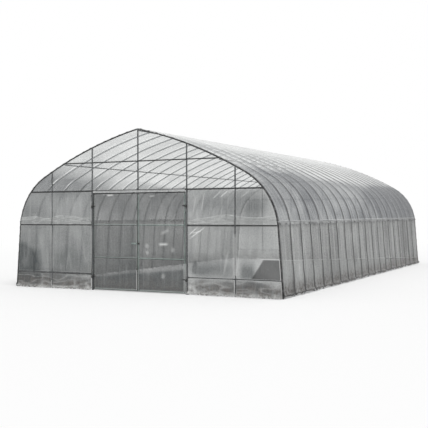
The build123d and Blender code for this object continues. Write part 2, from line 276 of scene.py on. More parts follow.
def film_piece(name, x, y, z, look, material, body="tunnel"):
    """A single-layer film from grids of coordinates, with its look."""
    x, y, z = np.broadcast_arrays(x, y, z)
    index = np.arange(x.size).reshape(x.shape)
    corners = (index[:-1, :-1], index[:-1, 1:], index[1:, 1:], index[1:, :-1])
    faces = np.stack(corners, -1).reshape(-1, 4).tolist()
    piece = add_object(name, np.stack([x, y, z], -1), faces, material, body)
    for key in FILM_LOOKS:
        values = np.broadcast_to(np.clip(getattr(look, key), 0, 1), x.shape)
        attribute = piece.data.attributes.new(key, "FLOAT", "POINT")
        attribute.data.foreach_set("value", values.astype(np.float32).ravel())
    return piece


def hardware(name, material, shapes, body="tunnel"):
    """One piece from small shapes and their places; a shape is its points and its faces."""
    points, faces, count = [], [], 0
    for (corners, sides), place in shapes:
        turn = np.array(place.to_3x3())
        points.append(np.asarray(corners) @ turn.T + np.array(place.translation))
        faces += [[i + count for i in face] for face in sides]
        count += len(corners)
    piece = add_object(name, np.concatenate(points), faces, material, body)
    piece.data.set_sharp_from_angle(angle=radians(38))


def placed(position, x_axis, z_axis):
    """A place, with its local X and Z along two directions."""
    z = Vector(z_axis).normalized()
    x = Vector(x_axis)
    x = (x - x.dot(z) * z).normalized()
    turn = Matrix((x, z.cross(x), z)).transposed().to_4x4()
    return Matrix.Translation(Vector(position)) @ turn


def ring_faces(rings, sides, flip=False, closed=False):
    """Faces between rings of points, with end caps unless the last ring meets the first."""
    faces = []
    for i in range(rings if closed else rings - 1):
        a, b = i * sides, (i + 1) % rings * sides
        for j in range(sides):
            k = (j + 1) % sides
            faces.append([a + j, b + j, b + k, a + k] if flip else [a + j, a + k, b + k, b + j])
    if not closed:
        last = (rings - 1) * sides
        caps = [list(range(sides))[::-1], list(range(last, last + sides))]
        faces += [cap[::-1] for cap in caps] if flip else caps
    return faces


def wire(points, radius):
    """A round wire along points, and its place."""
    sides = 5
    points = np.asarray(points, float)
    along = np.gradient(points, axis=0)
    along /= np.linalg.norm(along, axis=1)[:, None]
    normal = np.cross(along[0], [0.3, 0.2, 0.93])
    angles = np.arange(sides) * 2 * pi / sides
    rings = []
    for point, direction in zip(points, along):
        normal = normal - (normal @ direction) * direction
        normal /= np.linalg.norm(normal)
        other = np.cross(direction, normal)
        circle = np.outer(np.cos(angles), normal) + np.outer(np.sin(angles), other)
        rings.append(point + radius * circle)
    return (np.concatenate(rings), ring_faces(len(points), sides)), Matrix.Identity(4)


def band(radius, start, end, width, thickness, steps):
    """A strap with eased edges, bent round local Z between two angles."""
    ease = min(width, thickness) * 0.3
    inner, outer, half = radius, radius + thickness, width / 2
    section = [
        (inner, -half + ease), (inner, half - ease), (inner + ease, half), (outer - ease, half),
        (outer, half - ease), (outer, -half + ease), (outer - ease, -half), (inner + ease, -half),
    ]
    angles = np.linspace(start, end, steps + 1)
    points = [(r * cos(angle), r * sin(angle), h) for angle in angles for r, h in section]
    return points, ring_faces(len(angles), len(section), flip=True)


def lathe(outline, sides, size):
    """A closed shape turned about local Z from an outline's (radius, height) points."""
    angles = [j * 2 * pi / sides for j in range(sides)]
    rings = [(size * radius, size * height) for radius, height in outline]
    points = [(r * cos(angle), r * sin(angle), h) for r, h in rings for angle in angles]
    return points, ring_faces(len(rings), sides)


# Outlines of a bolt's washer and head, as (radius, height) in units of its size
WASHER = ((1.05, 0), (1.1, 0.06), (1.1, 0.16), (1.02, 0.22))
HEXAGON = ((0.82, 0.22), (0.86, 0.3), (0.86, 0.72), (0.7, 0.84))


def bolt(size):
    """A hexagon head on its washer, standing on local z = 0."""
    washer, faces = lathe(WASHER, 12, size)
    head, head_faces = lathe(HEXAGON, 6, size)
    return washer + head, faces + [[i + len(washer) for i in face] for face in head_faces]


# Materials


def fill(tree, socket, value):
    """Sets an input, or links another node's output to it."""
    if isinstance(value, bpy.types.NodeSocket):
        tree.links.new(value, socket)
    else:
        socket.default_value = value


def make(tree, kind, inputs=None, **settings):
    """A shader node with its inputs and settings."""
    node = tree.nodes.new("ShaderNode" + kind)
    for key, value in settings.items():
        setattr(node, key, value)
    for key, value in (inputs or {}).items():
        fill(tree, node.inputs[key], value)
    return node


def calc(tree, operation, first, second=0, clamp=False):
    """The result of a Math node."""
    return make(tree, "Math", {0: first, 1: second}, operation=operation, use_clamp=clamp).outputs[0]


def plus(tree, *values, clamp=False):
    """The sum of values."""
    return reduce(lambda total, value: calc(tree, "ADD", total, value, clamp), values)


def times(tree, *values):
    """The product of values."""
    return reduce(lambda total, value: calc(tree, "MULTIPLY", total, value), values)


def between(tree, value, low, high, out_low=0, out_high=1):
    """A value mapped smoothly from one range to another."""
    inputs = {"Value": value, "From Min": low, "From Max": high, "To Min": out_low, "To Max": out_high}
    return make(tree, "MapRange", inputs, interpolation_type="SMOOTHSTEP").outputs[0]


def speckle(tree, place, scale, detail=3, roughness=0.55, distortion=0):
    """Noise from about 0 to 1."""
    inputs = {"Vector": place, "Scale": scale, "Detail": detail}
    inputs.update({"Roughness": roughness, "Distortion": distortion})
    return make(tree, "TexNoise", inputs).outputs[0]


def blended(tree, share, first, second):
    """A mix of two colours."""
    return make(tree, "Mix", {0: share, 6: first, 7: second}, data_type="RGBA").outputs[2]


def part_of(tree, vector, axis):
    """One coordinate of a vector."""
    return make(tree, "SeparateXYZ", {0: vector}).outputs[axis]


def grey(value, warmth=0):
    """A grey colour, a little warmer or cooler."""
    return (value * (1 + warmth), value, value * (1 - warmth), 1)


def tinted(value):
    """The grey of old polythene, with a little green and blue."""
    return (value * 0.985, value, value * 0.995, 1)


def empty_tree(owner):
    """The cleared node tree of a material or of the world."""
    owner.use_nodes = True
    owner.node_tree.nodes.clear()
    return owner.node_tree


def named_material(build):
    """Turns a function that builds a shader into one that makes a material of a given name."""

    def made(name, *settings, **choices):
        material = bpy.data.materials.new(name)
        tree = empty_tree(material)
        make(tree, "OutputMaterial", {0: build(tree, *settings, **choices).outputs[0]})
        return material

    return made


RUST = (0.13, 0.055, 0.025, 1)
PALE_DUST_AND_HIGHLIGHT = (0.62, 0.7, 0.67, 1)
SOIL = (0.185, 0.171, 0.161, 1)
MILKY_AND_HIGHLIGHT = (0.97, 0.98, 0.97, 1)
CLEAR = (0.98, 0.985, 0.98, 1)


def dusted(tree, place_height, colour, dust_and_highlight_share):
    """A leaf's metal, darker low down, with a painted shadow on its head rail under the channel, and pale
    dust with a painted highlight on the tops of its lower rails.
    """
    upward = part_of(tree, make(tree, "TexCoord").outputs["Normal"], 2)
    # painted shadow: above this height the head rail, under the channel, is near black
    outside_head_shadow = between(tree, place_height, 2.06, 2.09, 1, 0)
    colour = blended(tree, between(tree, place_height, 0.35, 0.6, 0.6, 0), colour, grey(0.05))
    # pale dust, with a painted highlight, on faces turned upwards
    dust_and_highlight = times(tree, between(tree, upward, 0, 0.6), outside_head_shadow, dust_and_highlight_share)
    return blended(tree, dust_and_highlight, blended(tree, outside_head_shadow, grey(0.05), colour), PALE_DUST_AND_HIGHLIGHT)


@named_material
def metal(tree, dark, light, roughness, metallic, grain, rust=0, dust_and_highlight_share=0):
    """Weathered metal: zinc bloom, and rust spots towards the ground."""
    place = make(tree, "TexCoord").outputs["Object"]
    height = part_of(tree, place, 2)
    bloom = speckle(tree, place, grain, 4, 0.6)
    drift = speckle(tree, place, 2.3, 2)
    share = plus(tree, times(tree, bloom, 0.7), times(tree, drift, 0.5))
    colour = blended(tree, between(tree, share, 0.35, 0.85), dark, light)
    spots = between(tree, speckle(tree, place, 55, 2), 0.62, 0.75)
    low = between(tree, height, 0.9, 0, 0.12, 1)
    colour = blended(tree, times(tree, spots, low, rust), colour, RUST)
    # dust with a painted highlight, and a painted shadow on the head rail
    if dust_and_highlight_share:
        colour = dusted(tree, height, colour, dust_and_highlight_share)
    rough = between(tree, bloom, 0.3, 0.7, roughness - 0.08, roughness + 0.12)
    bump = make(tree, "Bump", {"Strength": 0.15, "Distance": 0.001, "Height": bloom}).outputs[0]
    inputs = {"Base Color": colour, "Metallic": metallic, "Roughness": rough, "Normal": bump}
    return make(tree, "BsdfPrincipled", inputs)


def film_colour(tree, clean, dirty, white, soiled, mud, rubbed_and_shaded, place, dust):
    """Clean polythene with dirt, splashed soil, milky folds with painted highlights, and dark rubbing with
    painted shade over it.
    """
    mottle = between(tree, speckle(tree, place, 13, 4, 0.7), 0.4, 0.6, 0.35, 1)
    colour = blended(tree, soiled, clean, dirty)
    colour = blended(tree, times(tree, mud, mottle), colour, SOIL)
    colour = blended(tree, white, colour, MILKY_AND_HIGHLIGHT)
    # rubbing and painted shade darken the film towards a near-black grey
    colour = blended(tree, rubbed_and_shaded, colour, grey(0.045))
    tone = between(tree, dust, 0.25, 0.75, 0.88, 1.1)
    return make(tree, "VectorMath", {0: colour, 1: tone}, operation="MULTIPLY").outputs[0]


def film_shown(tree, opacity, soiling, white, soiled, mud, rubbed_and_shaded, touch):
    """How much of the film shows, more so at a slant."""
    parts = ((white, 0.38), (soiled, soiling), (mud, 0.22), (rubbed_and_shaded, 0.5))
    cover = plus(tree, opacity, *(times(tree, value, much) for value, much in parts))
    cover = calc(tree, "MINIMUM", cover, 0.96)
    cover = times(tree, cover, between(tree, touch, 0, 1, 1, 0.05))
    clear = calc(tree, "SUBTRACT", 1, cover, clamp=True)
    facing = make(tree, "LayerWeight", {"Blend": 0.5}).outputs["Facing"]
    slant = calc(tree, "DIVIDE", 1, calc(tree, "MAXIMUM", calc(tree, "SUBTRACT", 1, facing), 0.42))
    return calc(tree, "SUBTRACT", 1, calc(tree, "POWER", clear, slant))


@named_material
def film(tree, stretch, opacity, clean, dirty, through=0.45, gloss=0.5, coat=0.3, soiling=0.24,
         streaky=0.14, muddy=1):
    """Translucent polythene: clear where it clings, milky on folds with painted highlights, darkened by
    rubbing and painted shade, and splashed low down.
    """
    place = make(tree, "TexCoord").outputs["Object"]
    haze, grime, touch, rub_and_shade = (
        make(tree, "Attribute", attribute_name=key).outputs["Fac"] for key in FILM_LOOKS)
    drawn = make(tree, "Mapping", {"Vector": place, "Scale": stretch}).outputs[0]
    streak = between(tree, speckle(tree, drawn, 1, 4, 0.6, 0.4), 0.48, 0.78)
    cloud = between(tree, speckle(tree, place, 1.1, 3, 0.5, 0.6), 0.3, 0.7)
    dust = speckle(tree, place, 38, 3, 0.65)
    splash = plus(tree, part_of(tree, place, 2), times(tree, speckle(tree, place, 5, 3), -0.22))
    mud = between(tree, splash, 0.3, 0, 0, muddy)
    # milky folds and streaks, with painted highlights among them
    white = plus(tree, haze, times(tree, streak, streaky), clamp=True)
    soiled = plus(tree, grime, times(tree, cloud, 0.25), clamp=True)
    # rubbing and painted shade, broken up by the dust
    rubbed_and_shaded = times(tree, rub_and_shade, between(tree, dust, 0.2, 0.6, 0.65, 1))

    colour = film_colour(tree, clean, dirty, white, soiled, mud, rubbed_and_shaded, place, dust)
    ripple = plus(tree, times(tree, streak, 0.7), times(tree, dust, 0.3))
    bump = make(tree, "Bump", {"Strength": 0.35, "Distance": 0.004, "Height": ripple}).outputs[0]
    inputs = {"Base Color": colour, "Roughness": between(tree, dust, 0.3, 0.7, 0.22, 0.36), "Normal": bump}
    inputs.update({"Specular IOR Level": gloss, "Coat Weight": coat, "Coat Roughness": 0.15})
    skin = make(tree, "BsdfPrincipled", inputs)
    glow = make(tree, "BsdfTranslucent", {"Color": colour, "Normal": bump})
    body = make(tree, "MixShader", {0: through, 1: skin.outputs[0], 2: glow.outputs[0]})
    hole = make(tree, "BsdfTransparent", {"Color": CLEAR})
    shown = film_shown(tree, opacity, soiling, white, soiled, mud, rubbed_and_shaded, touch)
    return make(tree, "MixShader", {0: shown, 1: hole.outputs[0], 2: body.outputs[0]})


# How a film's faint streaks are stretched
ALONG_HOOPS = (0.5, 26, 0.5)
DOWN_WALLS = (24, 1, 0.6)
LEAF_DARK, LEAF_LIGHT = (0.15, 0.185, 0.175, 1), (0.28, 0.34, 0.315, 1)
SHADED_LEAF_LIGHT = (0.14, 0.165, 0.155, 1)

steel = metal("galvanised_steel", grey(0.075, -0.03), grey(0.15, -0.04), 0.5, 0.3, 26, 0.5)
# lit_hoop_steel and shaded_steel are a lighter and a darker copy of the galvanised steel: painted light on
# the middle hoops, painted shade on the front hoop, collar rail, beam and mid rails
lit_hoop_steel = metal("lit_hoop_steel", grey(0.34, -0.02), grey(0.52, -0.03), 0.42, 0.5, 26, 0.5)
# leaf_steel and shaded_leaf_steel are a lighter and a darker copy of one steel: a painted highlight on the
# right leaf, painted shade on the left
leaf_steel = metal("leaf_steel", LEAF_DARK, LEAF_LIGHT, 0.42, 0.35, 26, 0.4, 0.85)
shaded_leaf_steel = metal("shaded_leaf_steel", grey(0.06), SHADED_LEAF_LIGHT, 0.42, 0.35, 26, 0.4, 0.85)
shaded_steel = metal("shaded_steel", grey(0.03, -0.02), grey(0.065, -0.02), 0.5, 0.3, 26, 0.4)
aluminium = metal("dull_aluminium", grey(0.34, -0.02), grey(0.5, -0.02), 0.42, 0.6, 18)
ironwork = metal("black_ironwork", grey(0.022), grey(0.05), 0.45, 0.2, 40, 0.6)
wire_metal = metal("spring_wire", grey(0.28), grey(0.42), 0.35, 0.8, 60)
clip_plastic = metal("clip_plastic", grey(0.05), grey(0.085), 0.5, 0, 12)

roof_film = film("roof_film", ALONG_HOOPS, 0.15, tinted(0.95), (0.13, 0.14, 0.155, 1),
                 through=0.25, gloss=0.12, coat=0.08, soiling=0.42)
side_film = film("side_film", ALONG_HOOPS, 0.54, tinted(0.47), tinted(0.13), gloss=0.3, coat=0)
wall_film = film("wall_film", DOWN_WALLS, 0.54, tinted(0.6), (0.088, 0.1, 0.103, 1),
                 coat=0.15, streaky=0.08)
gable_film = film("gable_film", DOWN_WALLS, 0.08, tinted(0.95), tinted(0.3))
band_film = film("band_film", DOWN_WALLS, 0.36, tinted(0.75), tinted(0.3))
skirt_film = film("skirt_film", ALONG_HOOPS, 0.24, tinted(0.76), tinted(0.22), gloss=0.3, coat=0)
door_film = film("door_film", DOWN_WALLS, 0.5, tinted(0.26), (0.11, 0.12, 0.122, 1),
                 coat=0.15, soiling=0.45, streaky=0.05, muddy=0.5)

FINISHES = {
    "galvanised_tube": steel,
    "aluminium_channel": aluminium,
    "black_ironwork": ironwork,
    "polythene_film": roof_film,
}
OWN_FINISHES = {
    "left_door_frame": shaded_leaf_steel,
    "right_door_frame": leaf_steel,
    "door_bolt": leaf_steel,
    **dict.fromkeys(MIDDLE_HOOPS, lit_hoop_steel),
    **dict.fromkeys(("front_hoop", "front_collar_rail", "front_door_beam", "front_mid_rails"), shaded_steel),
}


def finish_cad_nodes():
    """CAD nodes get the materials of their slots, or their own."""
    slots = {part["node"]: part["material_slot"] for part in frame["record"]["subparts"]}
    for name, node in frame["nodes"].items():
        material = OWN_FINISHES.get(name, FINISHES[slots[name]])
        if not node.material_slots:
            node.data.materials.append(material)
        for place in node.material_slots:
            place.material = material


# Film over the arch

BAY_COLUMNS = (0, 0.008, 0.015, 0.026, 0.042, 0.065, 0.09, 0.12, 0.15, 0.18, 0.21, 0.24, 0.27)


def along_columns():
    """Places along Y, closer on the hoops, and the film's turn round an end hoop."""
    half = np.array(BAY_COLUMNS)
    bay = np.concatenate([half, [PITCH / 2], PITCH - half[:0:-1]])
    inner = np.concatenate([place + bay for place in HOOP_PLACES[:-1]] + [[-HOOP_Y]])
    turns = np.linspace(WRAP, 0, 6)[:-1]
    front = HOOP_Y - FILM_ON_HOOP * np.sin(turns)
    y = np.concatenate([front, inner, -front[::-1]])
    turn = np.concatenate([turns, np.zeros(len(inner)), turns[::-1]])
    return y[None, :], turn[None, :]


def hoop_gap(y):
    """Distance along Y to the nearest hoop, and 1 behind it or -1 before it."""
    part = np.clip((y - HOOP_Y) / PITCH, 0, BAYS) % 1
    return PITCH * np.minimum(part, 1 - part), np.where(part < 0.5, 1, -1)


def stretched_film(run, y, turn, sag, seed, wrinkle, strip, pale=0.38, sway=0):
    """Offset from the centreline of film stretched over the hoops, its look and its pale edges, which are
    painted highlights.

    A dark strip lies along each hoop, partly rubbing and partly painted shade of the tube, and a
    pale edge of painted highlight on the side of it that faces out of the tunnel's right half.
    """
    hoop = np.round(y / PITCH)
    gap, way = hoop_gap(y + sway * noise(run / 0.13, hoop * 2.3, seed + 12))
    loose = step(gap, ON_HOOP, 0.11)
    folds = ridges(y / 0.085, run / 1.5, seed)
    broad = noise(y / 0.24, run / 0.9, seed + 7)
    fine = noise(y / 0.045, run / 0.55, seed + 11)
    hang = np.sin(pi * np.maximum(gap - ON_HOOP, 0) / (PITCH - 2 * ON_HOOP))
    offset = FILM_ON_HOOP * np.cos(turn) - sag * hang
    offset = offset + loose * wrinkle * (0.75 * folds + 0.9 * broad + 0.25 * fine)
    broken = step(noise(run / 0.22, hoop * 3.7, seed + 3), -0.6, 0.5)
    outer = way * np.where(run < 0, -1, 1) > 0
    # painted highlight: a pale edge on one side of each hoop
    edge = outer * step(gap, 0.024, 0.036) * step(gap, 0.085, 0.06) * (0.3 + 0.7 * broken)
    look = Look(
        haze=0.4 * folds**2 * loose + pale * edge,
        grime=0.4 * step(gap, 0.06, 0.03),
        touch=0.3 * step(gap, 0.03, 0.016),
        # the dark strip along each hoop is rubbing and painted shade of the tube
        rub_and_shade=(0.7 + 0.25 * broken) * step(gap, strip, 0.45 * strip),
    )
    return offset, look, edge


# Patches of the cover that are dirtier or cleaner: place along Y, run, size along each, and how much
COVER_PATCHES = (
    (-4.2, 2.55, 1.1, 0.35, 0.3),
    (-2.2, 2.2, 0.8, 0.3, 0.3),
    (5.2, 3.3, 2.8, 0.85, 1.3),
    (2.2, 2.75, 1.6, 0.3, -0.3),
    (-5.6, -2.6, 1.3, 0.6, 0.75),
    (-3.4, -2.2, 1, 0.35, 0.2),
)


def cover_grime(run, y):
    """Dirt on the cover, in drifts that grow from the ridge to the shoulders."""
    drift = 0.3 * noise(y / 1.3, run / 0.5, 51) + 0.18 * noise(y / 0.6, run / 0.3, 52)
    right = 0.72 * step(run + drift, 1.9, 2.8)
    left = 0.7 * step(0.5 * drift - run, 2.45, 3)
    grime = right + left + 0.12 * noise(y / 2, run / 0.8, 53)
    for place, at, length, width, much in COVER_PATCHES:
        grime = grime + much * bell((y - place) / length, (run - at) / width)
    return grime


def cover_look(look, edge, run, y, slope):
    """Fades the hoops towards the ridge, paints highlights near the ridge and between the hoops, and adds
    a calm patch, the lock line and painted shade below the eave channel.
    """
    far, right = np.abs(run), run > 0
    locked = step(far, EAVE_RUN - 0.022, EAVE_RUN - 0.014)
    pressed = 0.4 * locked * (0.6 + 0.4 * noise(y / 0.03, 1, 33))
    look.haze += pressed * step(far, EAVE_RUN + 0.03, EAVE_RUN + 0.015)
    start = 0.9 - 0.5 * step(y, -4, -5.8)
    lower = np.where(right, step(far, start - 0.3, start + 1), step(far, 0.3, 1.3))
    calm = bell((y - 5.3) / 2.7, (run - 3.1) / 0.9)
    # painted glints in the middle of each bay on the right slope
    glints_between_hoops = slope * step(hoop_gap(y)[0], 0.09, 0.14)
    look.grime = (cover_grime(run, y) + look.grime * lower * slope) * (1 - 0.6 * locked)
    look.grime *= 1 - 0.9 * glints_between_hoops
    rubbed_and_shaded = np.where(right, 0.05 + 1.15 * lower, 0.9 * step(far, 2.6, 3.1)) * (1 - 0.3 * locked)
    look.rub_and_shade = np.maximum(look.rub_and_shade * rubbed_and_shaded * (1 - 0.92 * calm), 0.36 * calm)
    look.touch *= 1 - calm
    look.haze *= 1 - 0.5 * right * lower
    # painted reflection: milkier film towards the ridge, most on the right half, plus the painted glints
    look.haze = look.haze + np.where(right, 1.15, 0.25) * (1 - lower) + 0.8 * glints_between_hoops
    look.haze = look.haze * (1 - 0.9 * calm) * np.where(right, 1, 0.6)
    # painted shade: dark dashes on the cover's tail just below the eave channel
    eave_shade_dashes = step(far, EAVE_RUN + 0.012, EAVE_RUN + 0.02) * (0.5 + 0.45 * noise(y / 0.11, 0, 34))
    look.darken(eave_shade_dashes)
    # painted glints: on the left half the highlighted edges turn clear, so the bright background shows
    # through
    look.touch += (run < 0) * edge * step(far, 3.3, 2.9)


# Runs from the middle of an eave channel to rows of the cover, and how far out it is held there
COVER_LOCK = (
    (-0.03, 0.0182), (-0.016, 0.0205), (-0.0132, LIP), (-0.0085, LIP), (-0.0065, SEAT), (0, SEAT),
    (0.0065, SEAT), (0.0085, LIP), (0.0132, LIP), (0.022, 0.0262), (0.04, 0.0275), (TAIL, 0.0305),
)


def cover_film():
    """The one sheet over the roof and both shoulders, locked into the eave channels."""
    y, turn = along_columns()
    regular = np.linspace(0, EAVE_RUN - 0.05, 78)[1:]
    lock, fixed = np.array(COVER_LOCK).T
    half = np.concatenate([regular, EAVE_RUN + lock])
    levels = np.concatenate([np.full(len(regular), np.nan), fixed])
    run = np.concatenate([-half[::-1], [0], half])[:, None]
    level = np.concatenate([levels[::-1], [np.nan], levels])[:, None]
    far, right = np.abs(run), run > 0
    sag = 0.003 * step(far, ROOF_RUN - 0.5, ROOF_RUN + 0.4) + 0.006 * step(far, -0.1, 0.4)
    slope = step(far, 1.1, 1.7) * step(far, 2.9, 2.4) * step(y, -3.5, -0.5) * right
    strip = np.where(right, 0.042, 0.045) + 0.04 * slope
    wrinkle = (0.0032 - 0.0014 * right) * step(far, 0, 0.3)
    # the painted highlight on the pale edges is fainter on the right half
    offset, look, edge = stretched_film(run, y, turn, sag, 21, wrinkle, strip, 0.38 - 0.33 * right)
    cover_look(look, edge, run, y, slope)
    held = step(far, EAVE_RUN - 0.16, EAVE_RUN - 0.04)
    tail = np.maximum(far - EAVE_RUN - 0.015, 0)
    ruffle = tail * (0.35 * noise(y / 0.05, 3, 31) + 0.2 * noise(y / 0.016, 5, 32))
    target = np.where(np.isnan(level), FILM_ON_HOOP * np.cos(turn), level * np.cos(turn) + ruffle)
    offset = offset * (1 - held) + target * held
    x, z = film_line(run, offset)
    piece = film_piece("cover_film", x, y, z, look, roof_film)
    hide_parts("left_roof_film", "right_roof_film", "left_shoulder_film", "right_shoulder_film")


def side_offset(run, y, turn, seed):
    """Offset of a side film from the centreline, how near its foot is, and its look."""
    strip = 0.035 + 0.02 * step(run, GROUND_RUN - 0.5, GROUND_RUN - 0.2)
    offset, look, _ = stretched_film(run, y, turn, 0.008, seed, 0.0042, strip, sway=0.011)
    strokes = step(noise(y / 0.042, run / 0.26, seed + 60), 0.2, 0.7)
    look.darken(0.42 * (strokes * step(hoop_gap(y)[0], 0.22, 0.05)))
    low = step(run, GROUND_RUN - HEM, GROUND_RUN)
    crumple = lumps(y / 0.07, run / 0.05, seed + 41)
    small = lumps(y / 0.024, run / 0.02, seed + 42)
    spread = 0.01 + 0.03 * lumps(y / 0.22, 0, seed + 43) + 0.015 * noise(y / 0.09, 0, seed + 48)
    spread = spread * (0.3 + 0.7 * step(y, HOOP_Y, HOOP_Y + 0.9))
    offset = offset + (low**2 * spread + low * (0.016 * crumple + 0.008 * small)) * np.cos(turn)
    look.haze += low * (0.8 * crumple**2 + 1 * small**2) * (1 - look.rub_and_shade)
    foot = step(run + 0.02 * noise(y / 0.13, 0, seed + 50), GROUND_RUN - 0.07, GROUND_RUN - 0.045)
    look.rub_and_shade += 0.25 * look.rub_and_shade * step(run, GROUND_RUN - 0.55, GROUND_RUN - 0.35)
    look.darken(foot * (0.6 + 0.4 * noise(y / 0.17, run / 0.03, seed + 46)))
    look.haze = look.haze * 0.75 * (1 - 0.7 * foot)
    drift = 0.15 * noise(y / 1.1, run / 0.6, seed + 45)
    look.grime = look.grime + 0.3 + drift + 0.25 * step(y, 0, 5.5) - 0.12 * step(y, -3, -5.5)
    return offset, low, look


def side_points(side, run, y, turn, offset, low, seed):
    """Coordinates of a side film, with small rises along its foot."""
    x, z = film_line(run, offset)
    rise = 0.004 + low * 0.055 * lumps(y / 0.1, run / 0.03, seed + 44) * np.cos(turn)
    return side * x, np.maximum(z, GROUND_GAP) + rise * low


# Runs from the middle of an eave channel to rows of a side sheet, and how far out it is held there
SIDE_LOCK = (
    (0, SEAT - 0.0014), (0.0062, SEAT - 0.0006), (0.0082, LIP - 0.0004), (0.0132, LIP - 0.0002),
    (0.02, 0.0215), (0.035, 0.0185),
)
SIDE_HEM = (0.055, 0.042, 0.03, 0.02, 0.012, 0.006, 0.001)


def side_sheet(side, name, node, seed):
    """The sheet from an eave channel down to the ground, with a crumpled hem."""
    y, turn = along_columns()
    lock, fixed = np.array(SIDE_LOCK).T
    regular = np.linspace(EAVE_RUN + 0.06, GROUND_RUN - 0.07, 38)
    run = np.concatenate([EAVE_RUN + lock, regular, GROUND_RUN - np.array(SIDE_HEM)])[:, None]
    level = np.concatenate([fixed, np.full(len(regular) + len(SIDE_HEM), np.nan)])[:, None]
    offset, low, look = side_offset(run, y, turn, seed)
    held = step(run, EAVE_RUN + 0.2, EAVE_RUN + 0.035)
    target = np.where(np.isnan(level), FILM_ON_HOOP, level) * np.cos(turn)
    offset = offset * (1 - held) + target * held
    # painted shade: a dark band on the side sheet just below the eave channel
    under = step(run, EAVE_RUN + 0.03, EAVE_RUN + 0.05) * step(run, EAVE_RUN + 0.12, EAVE_RUN + 0.08)
    look.darken(under * (0.35 + 0.3 * noise(y / 0.07, 0, seed + 47)))
    x, z = side_points(side, run, y, turn, offset, low, seed)
    piece = film_piece(name, x, y, z, look, side_film)
    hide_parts(node)


def side_skirt(side, name, seed):
    """A second strip along a side's foot, lower to the rear, with a pale welded hem."""
    y, turn = along_columns()
    top = run_at_height(SKIRT_TOP - SKIRT_FALL * (y - HOOP_Y) / (-2 * HOOP_Y))
    down = np.array([0, 0.004, 0.012, 0.016, 0.022])[:, None]
    rest = np.linspace(0.06, 1, 16)[:, None]
    run = np.concatenate([top + down, top + rest * (SKIRT_FOOT - top)])
    offset, low, look = side_offset(run, y, turn, seed)
    hem = step(run - top, 0.02, 0.013)
    offset = offset + (0.003 + 0.003 * hem) * np.cos(turn)
    look.haze = 0.6 * look.haze + (0.16 + 0.26 * noise(y / 0.4, 0, seed + 49)) * hem
    look.rub_and_shade *= 0.85 - 0.6 * hem
    x, z = side_points(side, run, y, turn, offset, low, seed)
    piece = film_piece(name, x, y, z, look, skirt_film)


# Film on the end walls


def wall_film_look(x, z, uprights, rails, seed, dirt, bulge, wrinkle, edge=None):
    """How far the film stands off the face of the end frame, and its look.

    Uprights and rails are each a place and a radius.
    """
    on_rails = [np.abs(z - at) - radius for at, radius in rails]
    gaps = [np.abs(x - at) - radius for at, radius in uprights] + on_rails
    if edge is not None:
        gaps.append(edge)
    gap = np.minimum.reduce([each + 0 * z for each in gaps])
    off_rail = np.minimum.reduce(on_rails)
    loose = step(gap, 0.004, 0.16)
    folds = ridges(x / 0.1, z / 1.3, seed)
    broad = noise(x / 0.45, z / 0.7, seed + 5)
    slack = noise(x / 0.3 + z / 0.5, z / 0.16, seed + 6)
    gather = np.exp(-np.minimum.reduce([np.abs(z - at) for at, _ in rails]) / 0.12)
    swell = bulge * (0.6 + 0.8 * broad) + wrinkle * (0.8 * folds - 0.2 + 0.6 * slack * gather)
    milky = loose * (0.16 * folds**2 + 0.16 * gather * np.abs(slack))
    look = Look(
        haze=milky + 0.14 * bell((gap - 0.016) / 0.01),
        touch=step(gap, 0.010, -0.002),
        grime=dirt + 0.2 * noise(x / 0.9, z / 0.7, seed + 9),
        rub_and_shade=0.75 * step(off_rail, 0.009, 0.001),
    )
    return CLOSE + loose * swell, look


def ground_hem(z, x, depth, look, seed):
    """Turns the foot of a wall film out over the ground in crumples."""
    low = step(z, 0.10, 0)
    crumple = lumps(x / 0.06, z / 0.045, seed)
    small = lumps(x / 0.022, z / 0.02, seed + 1)
    spread = 0.02 + 0.05 * lumps(x / 0.3, 0, seed + 2) + 0.02 * noise(x / 0.1, 0, seed + 3)
    depth = depth + low**1.5 * spread + low * 0.018 * crumple
    look.haze += low * (0.35 * crumple**2 + 0.45 * small**2)
    look.touch *= 1 - 0.6 * low
    foot = step(z, 0.016, 0.004)
    look.rub_and_shade = look.rub_and_shade * (1 - low)
    look.darken(0.7 * foot * lumps(x / 0.12, 0, seed + 4))
    z = np.maximum(z, GROUND_GAP) + 0.024 * low * small
    return z, depth


def wall_grid(rows, columns, left=0):
    """Coordinates over an end wall, or over its part right of a place."""
    share = np.linspace(0 if left else -1, 1, columns)[None, :]
    x = left + share * (half_width(rows[:, None], PAST_HOOP) - left)
    return x, rows[:, None] + 0 * x


def arch_gap(x, z):
    """Distance in from the hoop's centreline to a point of the end wall."""
    edge, _, heading = arch(run_at_height(z))
    return (edge - np.abs(x)) * np.cos(heading) - HOOP


